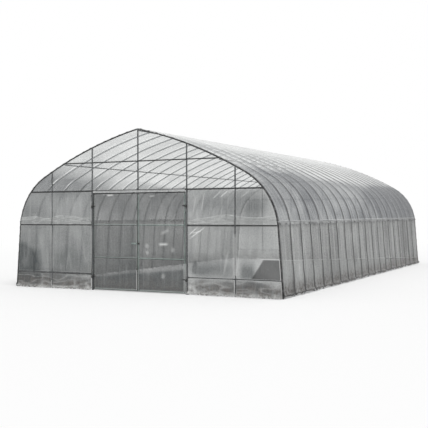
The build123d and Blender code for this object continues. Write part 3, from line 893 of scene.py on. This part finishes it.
# Each line is (x, z, x, z) on the front wall, its width, how far it stands out and how milky it is;
# the milkiness is partly a painted highlight along the crease
RIGHT_CREASES = (
    (1.24, 1.14, 1.62, 1.39, 0.014, 0.007, 1),
    (1.22, 1.21, 1.44, 1.38, 0.012, 0.006, 0.9),
    (1.3, 1.26, 1.52, 1.3, 0.01, 0.004, 0.7),
    (1.52, 1.66, 1.6, 2.1, 0.012, 0.004, 0.5),
    (1.33, 1.62, 1.4, 2, 0.012, 0.004, 0.4),
    (1.95, 1.98, 2.15, 2.14, 0.014, 0.005, 0.8),
    (1.78, 1.95, 1.98, 2.12, 0.012, 0.004, 0.6),
    (2.42, 1.98, 2.62, 2.12, 0.012, 0.004, 0.5),
    (2.02, 0.4, 2.14, 0.95, 0.03, 0.005, 0.3),
    (2.28, 0.38, 2.36, 0.8, 0.03, 0.004, 0.25),
    (1.22, 0, 1.3, 0.3, 0.035, 0.008, 1),
    (1.4, 0, 1.32, 0.24, 0.035, 0.006, 0.9),
    (1.55, 0.02, 1.28, 0.14, 0.035, 0.006, 0.8),
    (1.6, 1.46, 2.02, 1.58, 0.02, 0.004, 0.5),
)
LEFT_CREASES = (
    (2.72, 1.4, 2.78, 1.7, 0.05, 0.004, 0.25),
    (2.45, 0.3, 2.62, 1.4, 0.09, 0.004, 0.16),
    (1.22, 0.02, 1.36, 0.16, 0.03, 0.007, 0.8),
    (1.7, 0.02, 1.4, 0.14, 0.03, 0.006, 0.5),
    (1.2, 1.58, 2.1, 1.46, 0.03, 0.004, 0.35),
)
# Lines that darken the film, or lighten it where the amount is negative: (x, z, x, z), width and how much
RIGHT_SHADES = (
    (1.3, 1.9, 3.1, 1.82, 0.3, 0.42),
    (2.48, 1.88, 3.02, 1.76, 0.25, 0.5),
    (1.1, 0.5, 2.4, 0.54, 0.2, 0.76),
    (1.35, 0.4, 1.4, 0.75, 0.05, 0.4),
    (1.3, 0.14, 3.3, 0.14, 0.18, 0.6),
    (2.35, 0.52, 2.75, 0.5, 0.2, 0.75),
    (1.3, 0.52, 2.28, 0.56, 0.2, 0.06),
)
LEFT_SHADES = (
    (1.15, 1.9, 3.2, 1.85, 0.3, -0.3),
    (3.18, 0.05, 3.1, 1.05, 0.26, 1.3),
    (2.5, 0.1, 3.1, 0.6, 0.22, 0.6),
    (1.2, 0.15, 3.1, 0.12, 0.18, 0.3),
    (2.25, 1.76, 3.2, 1.72, 0.25, 0.4),
    (2.62, 0.4, 2.8, 0.9, 0.24, 0.3),
)
# Painted reflections, as milky glints on the leaves, with x seen from the front: (x, z, x, z), width and
# how milky
DOOR_GLINTS = (
    (-0.8, 2.06, -0.6, 2.075, 0.018, 0.9),
    (-0.93, 2.085, -0.7, 2.095, 0.012, 0.6),
    (0.28, 2.03, 0.44, 2.04, 0.014, 0.5),
    (0.5, 1.02, 0.76, 1.03, 0.028, 0.75),
    (0.55, 1.23, 0.78, 1.33, 0.03, 0.4),
    (0.2, 0.94, 0.26, 1.03, 0.045, 0.4),
    (0.2, 0.82, 0.28, 0.86, 0.04, 0.4),
    (0.84, 0.86, 0.88, 0.96, 0.04, 0.3),
    (0.6, 0.3, 0.64, 0.42, 0.04, 0.3),
)
# Places and radii of members behind the films of the end walls
LOWER_RAILS = ((BOTTOM_Z, TUBE), (MID_Z, TUBE), (BEAM_Z, HOOP))
UPRIGHTS = [(at, HOOP) for at in (-MULLION_X, -POST_X, 0, POST_X, MULLION_X)]


def slumped_foot(x, z, look, seed):
    """Painted highlights and painted shadows of folds where the film has slumped below the bottom rail."""
    sack = step(z, BOTTOM_Z, BOTTOM_Z - 0.06)
    slump = ridges(z / 0.07 + 0.5 * x, x / 0.3, seed + 30, 5)
    shadow = ridges(z / 0.09 - 0.4 * x, x / 0.35, seed + 33, 6)
    look.haze = look.haze * (1 - 0.6 * sack) + 0.3 * slump * sack
    look.darken(0.28 * shadow * sack)


def veiled_mullion(x, z, look, much):
    """Haze over the mullion between the lower rails."""
    bay = step(z, BOTTOM_Z + 0.02, BOTTOM_Z + 0.1) * step(z, MID_Z - 0.02, MID_Z - 0.3)
    veil = much * bay * bell((x - MULLION_X) / 0.04)
    look.haze += 0.36 * veil
    look.touch *= 1 - 0.9 * veil


def folded_flap(x, z, look):
    """A dark fold low in the right sheet's corner, with a pale line along its top."""
    slant = x - FLAP_LEFT - (z - BOTTOM_Z) * 0.67
    flap = 0.75 * step(slant, 0, 0.05) * step(z, BOTTOM_Z + 0.012, BOTTOM_Z + 0.02)
    flap = flap * step(z, SKIRT_TOP, SKIRT_TOP - 0.01)
    line = step(x, FLAP_LEFT + 0.22, FLAP_LEFT + 0.3) * bell((z - SKIRT_TOP - 0.008) / 0.01)
    look.darken(flap)
    look.haze = (look.haze + 0.7 * line) * (1 - 0.7 * (flap > 0.1))


def beside_door_film(side, name, node, seed, dirt, creases, shades):
    """The sheet between the doorway and the hoop, on one side."""
    rows = np.concatenate([np.linspace(0, HEM, 12)[:-1], np.linspace(HEM, BEAM_Z - 0.001, 170)])
    x, z = wall_grid(rows, 190, JAMB_X)
    uprights = ((POST_X, POST), (MULLION_X, HOOP))
    depth, look = wall_film_look(x, z, uprights, LOWER_RAILS, seed, dirt, 0.004, 0.005, arch_gap(x, z))
    for *line, width, height, white in creases:
        fold = crease(x, z, line, width)
        depth = depth + height * fold
        # milky creases, partly painted highlights
        look.haze += white * fold
    for *line, width, dark in shades:
        look.grime += dark * crease(x, z, line, width)
    slumped_foot(x, z, look, seed)
    veiled_mullion(x, z, look, 1 if side == RIGHT else 0.6)
    if side == RIGHT:
        # painted shade: a thick dark line along the mid rail
        look.darken(0.9 * step(np.abs(z - MID_Z), 0.027, 0.02))
        folded_flap(x, z, look)
    z, depth = ground_hem(z, x, depth, look, seed + 50)
    piece = film_piece(name, side * x, FACE_Y - depth, z, look, wall_film)
    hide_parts(node)
    rows = np.linspace(0, BEAM_Z, 200)
    area = area_under(half_width(rows) - JAMB_X, rows)


def front_gable_film():
    """The sheet above the beam."""
    rise = np.linspace(0, 1, 120)
    x, z = wall_grid(BEAM_Z + 0.0005 + (GABLE_TOP - BEAM_Z - 0.001) * (1 - (1 - rise) ** 1.15), 400)
    rails = ((BEAM_Z, HOOP), (COLLAR_Z, TUBE))
    depth, look = wall_film_look(x, z, UPRIGHTS, rails, 140, 0.1, 0.003, 0.004, arch_gap(x, z))
    # painted shade: a dark line along the collar rail, wider than the rail
    look.darken(0.9 * step(np.abs(z - COLLAR_Z), 0.024, 0.017))
    piece = film_piece("front_gable_sheet", x, FACE_Y - depth, z, look, gable_film)
    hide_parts("front_gable_film")
    rows = np.linspace(BEAM_Z, GABLE_TOP, 400)
    flat = (2 * float(half_width(BEAM_Z)), GABLE_TOP - BEAM_Z)
    area_under(2 * half_width(rows), rows)


def rear_wall_film():
    """The one sheet of the rear wall."""
    low, high = np.linspace(0, HEM, 10)[:-1], np.linspace(HEM, BEAM_Z, 120)[:-1]
    rows = np.concatenate([low, high, np.linspace(BEAM_Z, GABLE_TOP - 0.001, 80)])
    x, z = wall_grid(rows, 320)
    rails = (*LOWER_RAILS, (COLLAR_Z, TUBE))
    depth, look = wall_film_look(x, z, UPRIGHTS, rails, 240, 0.2, 0.004, 0.005, arch_gap(x, z))
    z, depth = ground_hem(z, x, depth, look, 260)
    piece = film_piece("rear_sheet", x, -FACE_Y + depth, z, look, wall_film)
    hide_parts("rear_film")
    area = area_under(2 * half_width(rows), rows)


def overlap_band(side, name, seed):
    """The loose top edge of the lower sheet, above the mid rail."""
    inset = 0.03  # from the doorway
    share = np.linspace(0, 1, 180)[None, :]
    up = np.linspace(0, 1, 16)[:, None]
    edge = 0.15 + 0.035 * noise(share * 5, 0, seed) + 0.03 * bell((share - 0.5) / 0.1)
    z = MID_Z + 0.014 + up * edge * step(share, -0.35, 0.3)
    x = JAMB_X + inset + share * (half_width(z, -0.02) - JAMB_X - inset)
    loose = step(up, 0.1, 0.9)
    wave = 0.008 * noise(x / 0.16, z / 0.3, seed + 1) + 0.004 * noise(x / 0.05, z / 0.1, seed + 2)
    gap = np.minimum(np.abs(x - MULLION_X) - HOOP, np.abs(x - POST_X) - POST)
    depth = 0.0045 + loose * (0.006 + wave) * step(gap, -0.01, 0.1) + 0.002 * up
    drape = ridges(x / 0.2 + z / 0.09, z / 0.05, seed + 3)
    haze = 0.1 + 0.45 * drape**2 + 0.4 * step(up, 0.88, 1) + 0.25 * step(up, 0.1, 0)
    look = Look(haze, grime=0.1, touch=0.8 * step(gap, 0.01, -0.002))
    piece = film_piece(name, side * x, FACE_Y - depth, z + 0 * x, look, band_film)


def door_look(side, x, z, look):
    """Darkens a leaf at the top and below a slanting line, and adds painted reflections as glints."""
    look.grime = look.grime + 0.12 * step(z, 1.55, 1.9)
    if side == LEFT:
        look.grime += 0.25 * step(z, 1.55, 1.3)
    line = 0.42 + 0.1 * side * x
    look.grime += (0.44 if side == LEFT else 0.6) * step(z - line, 0.03, -0.06)
    look.haze *= 0.5
    for *glint, width, white in DOOR_GLINTS:
        look.haze += white * crease(side * x, z, glint, width)


def door_leaf_film(side, name, node, body, seed):
    """The film of one door leaf, wrapped round its stiles and rails."""
    low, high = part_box(node)
    near, far = sorted((abs(low.x), abs(high.x)))
    radius = TUBE + CLOSE
    turns = np.linspace(radians(80), 0, 5)[:-1]
    first, last = near + TUBE, far - TUBE
    inner = np.linspace(first, last, 110)
    wrap = radius * np.sin(turns)
    x = np.concatenate([first - wrap, inner, (last + wrap)[::-1]])[None, :]
    back = radius * (1 - np.cos(turns))
    back = np.concatenate([back, np.zeros(len(inner)), back[::-1]])[None, :]
    z = np.linspace(low.z + 0.002, high.z - 0.002, 180)
    z = np.concatenate([[low.z - 0.0008], z, [high.z + 0.0008]])[:, None] + 0 * x
    rails = [(at, TUBE) for at in (low.z + TUBE, LEAF_RAIL_Z, MID_Z, high.z - TUBE)]
    stiles = ((first, TUBE), (last, TUBE))
    depth, look = wall_film_look(x, z, stiles, rails, seed, 0.15, 0.0015, 0.0035)
    beside_bolt = np.maximum(np.abs(x - 0.085) - 0.09, np.abs(z - middle("door_bolt").z) - 0.04)
    depth = np.where(beside_bolt < 0, np.minimum(depth, 0.0022), depth)
    door_look(side, x, z, look)
    piece = film_piece(name, side * x, FACE_Y - depth + back, z, look, door_film, body)
    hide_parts(node)


# Heights of rows of the film over the doorway, and how far they stand off the channel's back
HEAD_ROWS = (
    (0.017, 0.0015), (0.0135, 0.006), (0.0122, 0.0118), (0.008, 0.0118), (0.0062, 0.0052), (0, 0.0046),
    (-0.0062, 0.0052), (-0.008, 0.0118), (-0.0122, 0.0118), (-0.0135, 0.0112), (-0.0165, 0.0118),
    (-0.021, 0.0135),
)
HEAD_TAIL = 9  # the row where its loose tail starts


def head_film():
    """The strip of film locked into the channel over the doorway."""
    low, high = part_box("front_head_channel")
    drop, stand = np.array(HEAD_ROWS).T
    x = np.linspace(low.x + 0.002, high.x - 0.002, 240)[None, :]
    tail = (np.arange(len(drop)) >= HEAD_TAIL)[:, None]
    z = ((low.z + high.z) / 2 + drop)[:, None] + tail * noise(x / 0.05, 1, 71) * 0.0016
    depth = stand[:, None] + tail * (0.002 + 0.003 * noise(x / 0.035, 2, 72))
    look = Look(0.8 + 0.2 * noise(x / 0.04, z / 0.01, 73))
    piece = film_piece("head_film", x, FACE_Y - depth, z, look, band_film)


# Hardware

WAVE = 0.072  # length of one zigzag of a spring wire
SWING = 0.0068  # and how far it swings to each side
SPRING_RADIUS = 0.0011
HOOK_RADIUS = 0.0016


def on_arch(run, y, offset=0):
    """A point of a hoop, and the directions out of the arch and up it."""
    x, z, heading = arch(run, offset)
    side = copysign(1, run)
    out = Vector((side * cos(heading), 0, sin(heading)))
    up = Vector((-side * sin(heading), 0, cos(heading)))
    return Vector((float(x), y, float(z))), out, up


def spring_wire(start, end, across):
    """A zigzag wire between two points, pressed into a channel."""
    start, end, across = (np.array(place, float) for place in (start, end, across))
    waves = round(np.linalg.norm(end - start) / WAVE)
    t = np.linspace(0, 1, waves * 8 + 1)
    swing = np.tanh(1.8 * np.sin(t * waves * 2 * pi)) / tanh(1.8)
    return wire(start + t[:, None] * (end - start) + swing[:, None] * SWING * across, SPRING_RADIUS)


def lock_wires():
    """Spring wires in the eave channels and over the doorway."""
    for side in (LEFT, RIGHT):
        x, z, heading = arch(EAVE_RUN, SEAT + 0.0018)
        across = (-side * sin(heading), 0, cos(heading))
        yield spring_wire((side * x, HOOP_Y + 0.01, z), (side * x, -HOOP_Y - 0.01, z), across)
    low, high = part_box("front_head_channel")
    mid, y = (low.z + high.z) / 2, FACE_Y - 0.0068
    yield spring_wire((low.x + 0.02, y, mid), (high.x - 0.02, y, mid), (0, 0, 1))


def purlin_hook(run, y, way):
    """A wire that grips the side of a hoop and passes under a purlin."""
    centre, out, up = on_arch(run, y)
    hoop, rod, drop = HOOP + 0.0018, TUBE + 0.002, HOOP + 0.0003 + TUBE

    def beside_hoop(height, degrees):
        """The wire beside the hoop, above or below the purlin."""
        angles = [radians(each) for each in degrees]
        arms = [Vector((0, way * hoop * cos(a), 0)) + out * hoop * sin(a) for a in angles]
        return [centre + up * height + arm for arm in arms]

    points = beside_hoop(-rod, (50, 30, 10))
    for degrees in range(0, 181, 30):
        a = radians(degrees)
        reach = Vector((0, way * hoop, 0)) - out * (drop + rod * sin(a))
        points.append(centre - up * rod * cos(a) + reach)
    points += beside_hoop(rod, (10, 30, 50))
    return wire([tuple(point) for point in points], HOOK_RADIUS)


def purlin_hooks():
    """Wire hooks that hold the three purlins under the hoops."""
    for run in (-PURLIN_RUN, 0, PURLIN_RUN):
        for y in HOOP_PLACES[1:-1]:
            for way in (-1, 1):
                yield purlin_hook(run, y, way)


def connector_bolts():
    """A bolt through each arm of each ridge connector, on the inside."""
    head = bolt(0.0075)
    for run in (-0.075, 0.075):
        for y in HOOP_PLACES:
            place, out, _ = on_arch(run, y, -HOOP + 0.0006)
            yield head, placed(place, (0, 1, 0), -out)


def clamp_strap(radius, width, thickness, steps):
    """A strap round a tube along local Z, open by 120 degrees towards local -Y."""
    open_half = radians(60)
    return band(radius, -pi / 2 + open_half, 3 * pi / 2 - open_half, width, thickness, steps)


def clamp_places(end):
    """Where an end wall's rails meet its uprights: x, the upright's radius, and z."""
    uprights = [(MULLION_X, HOOP), (POST_X, POST if end == FRONT else HOOP)]
    places = [(side * x, r, z) for x, r in uprights for z in (BOTTOM_Z, MID_Z) for side in (LEFT, RIGHT)]
    if end == REAR:
        places += [(0, HOOP, z) for z in (BOTTOM_Z, MID_Z)]
    return places


def frame_clamps():
    """Straps with a bolt where the rails meet the uprights, open towards the film."""
    head = bolt(0.006)
    sleeve = clamp_strap(TUBE + 0.0003, 0.04, 0.0018, 16)
    for end in (FRONT, REAR):
        for x, radius, z in clamp_places(end):
            y = end * (FACE_Y + radius)
            strap = clamp_strap(radius + 0.0004, 0.032, 0.002, 18)
            yield strap, placed((x, y, z), (end, 0, 0), (0, 0, 1))
            yield head, placed((x, y + end * (radius + 0.0022), z), (1, 0, 0), (0, end, 0))
            for way in (LEFT, RIGHT):
                into_doorway = radius == POST and way * x < 0
                if not into_doorway:
                    at = (x + way * (radius + 0.023), end * (FACE_Y + TUBE), z)
                    yield sleeve, placed(at, (0, 0, -end), (1, 0, 0))


def hoop_clips():
    """Snap clips that hold the edges of the films on the end hoops."""
    spacing, first, ground_end, eave_room = 0.2, 0.08, 0.15, 0.06
    clip = band(FILM_ON_HOOP + 0.0012, radians(-118), radians(92), 0.055, 0.0026, 16)
    count = int((GROUND_RUN - ground_end) / spacing)
    for end in (FRONT, REAR):
        for number in range(-count, count + 1):
            run = number * spacing + (first if number >= 0 else -first)
            if abs(abs(run) - EAVE_RUN) >= eave_room:
                place, out, up = on_arch(run, end * HOOP_Y)
                axis = up if out.cross(Vector((0, -end, 0))).dot(up) < 0 else -up
                yield clip, placed(place, out, axis)


def weld_bead(radius, bead):
    """A rippled ring of weld round local Z."""
    points = []
    sides, steps = 6, 28
    for i in range(steps):
        angle = i * 2 * pi / steps
        swell = bead * (1 + 0.18 * cos(i * 2.1) + 0.12 * sin(i * 3.7))
        for j in range(sides):
            turn = j * 2 * pi / sides
            reach = radius + swell * cos(turn)
            points.append((reach * cos(angle), reach * sin(angle), swell * sin(turn)))
    return points, ring_faces(steps, sides, flip=True, closed=True)


def door_welds(side, name):
    """Weld beads where the rails of a leaf meet its stiles."""
    low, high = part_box(name + "_frame")
    near, far = sorted((abs(low.x), abs(high.x)))
    bead = weld_bead(TUBE - 0.0004, 0.0016)
    for x, way in ((near + 2 * TUBE, 1), (far - 2 * TUBE, -1)):
        for z in (low.z + TUBE, LEAF_RAIL_Z, MID_Z, high.z - TUBE):
            at = (side * (x + way * 0.0006), FACE_Y + TUBE, z)
            yield bead, placed(at, (0, 0, 1), (1, 0, 0))


def door_bolts(side, name):
    """Two bolts on each hinge strap of a leaf."""
    low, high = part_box(name.replace("_door", "_hinge_eyes"))
    head = bolt(0.0055)
    strap_end, strap_y, half_strap = 1.142, FACE_Y - 0.0036 - 0.005, 0.012
    for z in (low.z + half_strap, high.z - half_strap):
        for inset in (0.02, 0.042):
            yield head, placed((side * (strap_end - inset), strap_y, z), (1, 0, 0), (0, -1, 0))


def bracket_bolts():
    """Two bolts on each hinge bracket's plate."""
    head = bolt(0.006)
    plate_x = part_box("hinge_brackets")[1].x - 0.015
    pin_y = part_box("right_hinge_eyes")[0].y + 0.010
    for z in HINGE_HEIGHTS:
        for way in (-1, 1):
            for side in (LEFT, RIGHT):
                at = (side * plate_x, pin_y + 0.006 + 0.0003, z + way * 0.021)
                yield head, placed(at, (1, 0, 0), (0, -1, 0))


# Stage, light and camera

CAMERA_PLACE = (8.852, -19.91, 1.650)
CAMERA_YAW = radians(26.861)
CAMERA_PITCH = radians(0.011)
CAMERA_ROLL = radians(-0.187)
CAMERA_LENS = 65
SENSOR = 36
VIEW_END = 400
WORLD_LIGHT = 0.58
SUN_STRENGTH = 1.6
SUN_WIDTH = radians(50)
SUN_DIRECTION = (-0.35, 0.45, -1)
FLOOR_REACH = 120
FLOOR_LIFT = 0.14
FADE_START, FADE_END = 11, 26  # distances at which the floor turns into the background


def seen_directly(tree):
    """1 for rays from the camera, and in reflections and through glass."""
    path = make(tree, "LightPath")
    seen = calc(tree, "MAXIMUM", path.outputs["Is Camera Ray"], path.outputs["Is Glossy Ray"])
    return calc(tree, "MAXIMUM", seen, path.outputs["Is Transmission Ray"])


def set_world():
    """A white background over a softer even light."""
    world = bpy.data.worlds.new("studio")
    bpy.context.scene.world = world
    tree = empty_tree(world)
    inputs = {"Value": seen_directly(tree), "To Min": WORLD_LIGHT, "To Max": 1}
    strength = make(tree, "MapRange", inputs).outputs[0]
    background = make(tree, "Background", {"Color": (1, 1, 1, 1), "Strength": strength})
    make(tree, "OutputWorld", {0: background.outputs[0]})


def add_sun():
    """A wide sun lamp."""
    lamp = bpy.data.lights.new("key", "SUN")
    lamp.energy = SUN_STRENGTH
    lamp.angle = SUN_WIDTH
    sun = show("key", lamp)
    sun.rotation_mode = "QUATERNION"
    sun.rotation_quaternion = Vector(SUN_DIRECTION).to_track_quat("-Z", "Y")


@named_material
def floor_material(tree):
    """A pale floor that fades into the background far from the object."""
    place = make(tree, "TexCoord").outputs["Object"]
    distance = make(tree, "VectorMath", {0: place}, operation="LENGTH").outputs["Value"]
    near = make(tree, "BsdfDiffuse", {"Color": grey(0.82)})
    lifted = times(tree, seen_directly(tree), FLOOR_LIFT)
    lift = make(tree, "Emission", {"Color": grey(1), "Strength": lifted})
    both = make(tree, "AddShader", {0: near.outputs[0], 1: lift.outputs[0]})
    white = make(tree, "Emission", {"Color": grey(1), "Strength": seen_directly(tree)})
    share = times(tree, between(tree, distance, FADE_START, FADE_END), seen_directly(tree))
    return make(tree, "MixShader", {0: share, 1: both.outputs[0], 2: white.outputs[0]})


def add_floor():
    """One large square."""
    mesh = bpy.data.meshes.new("floor")
    corners = [(x * FLOOR_REACH, y * FLOOR_REACH, 0) for x, y in ((-1, -1), (1, -1), (1, 1), (-1, 1))]
    mesh.from_pydata(corners, [], [(0, 1, 2, 3)])
    mesh.materials.append(floor_material("pale_floor"))
    show("floor", mesh)


def add_camera():
    """Eye height, to the right of the front wall."""
    camera = show("camera", bpy.data.cameras.new("camera"))
    camera.data.sensor_width = SENSOR
    camera.data.lens = CAMERA_LENS
    camera.data.clip_end = VIEW_END
    turn = Euler((pi / 2 + CAMERA_PITCH, 0, CAMERA_YAW)).to_matrix().to_4x4()
    roll = Matrix.Rotation(CAMERA_ROLL, 4, "Z")
    camera.matrix_world = Matrix.Translation(CAMERA_PLACE) @ turn @ roll
    bpy.context.scene.camera = camera


# The scene

add_camera()
add_floor()
set_world()
add_sun()
bpy.context.scene.view_settings.view_transform = "Standard"

finish_cad_nodes()
cover_film()
side_sheet(RIGHT, "right_side_sheet", "right_side_film", 300)
side_sheet(LEFT, "left_side_sheet", "left_side_film", 400)
side_skirt(RIGHT, "right_skirt", 300)
side_skirt(LEFT, "left_skirt", 400)
front_gable_film()
beside_door_film(RIGHT, "front_right_sheet", "front_right_film", 500, 0.05, RIGHT_CREASES, RIGHT_SHADES)
beside_door_film(LEFT, "front_left_sheet", "front_left_film", 600, 0.42, LEFT_CREASES, LEFT_SHADES)
overlap_band(RIGHT, "front_right_overlap", 700)
overlap_band(LEFT, "front_left_overlap", 720)
head_film()
rear_wall_film()
door_leaf_film(LEFT, "left_leaf_film", "left_door_film", "left_door", 800)
door_leaf_film(RIGHT, "right_leaf_film", "right_door_film", "right_door", 840)

hardware("lock_wires", wire_metal, lock_wires())
hardware("purlin_hooks", wire_metal, purlin_hooks())
hardware("ridge_bolts", wire_metal, connector_bolts())
hardware("frame_clamps", steel, frame_clamps())
hardware("hoop_clips", clip_plastic, hoop_clips())
hardware("bracket_bolts", ironwork, bracket_bolts())
for side, name in ((LEFT, "left_door"), (RIGHT, "right_door")):
    hardware(name + "_welds", steel, door_welds(side, name), body=name)
    hardware(name + "_bolts", ironwork, door_bolts(side, name), name)
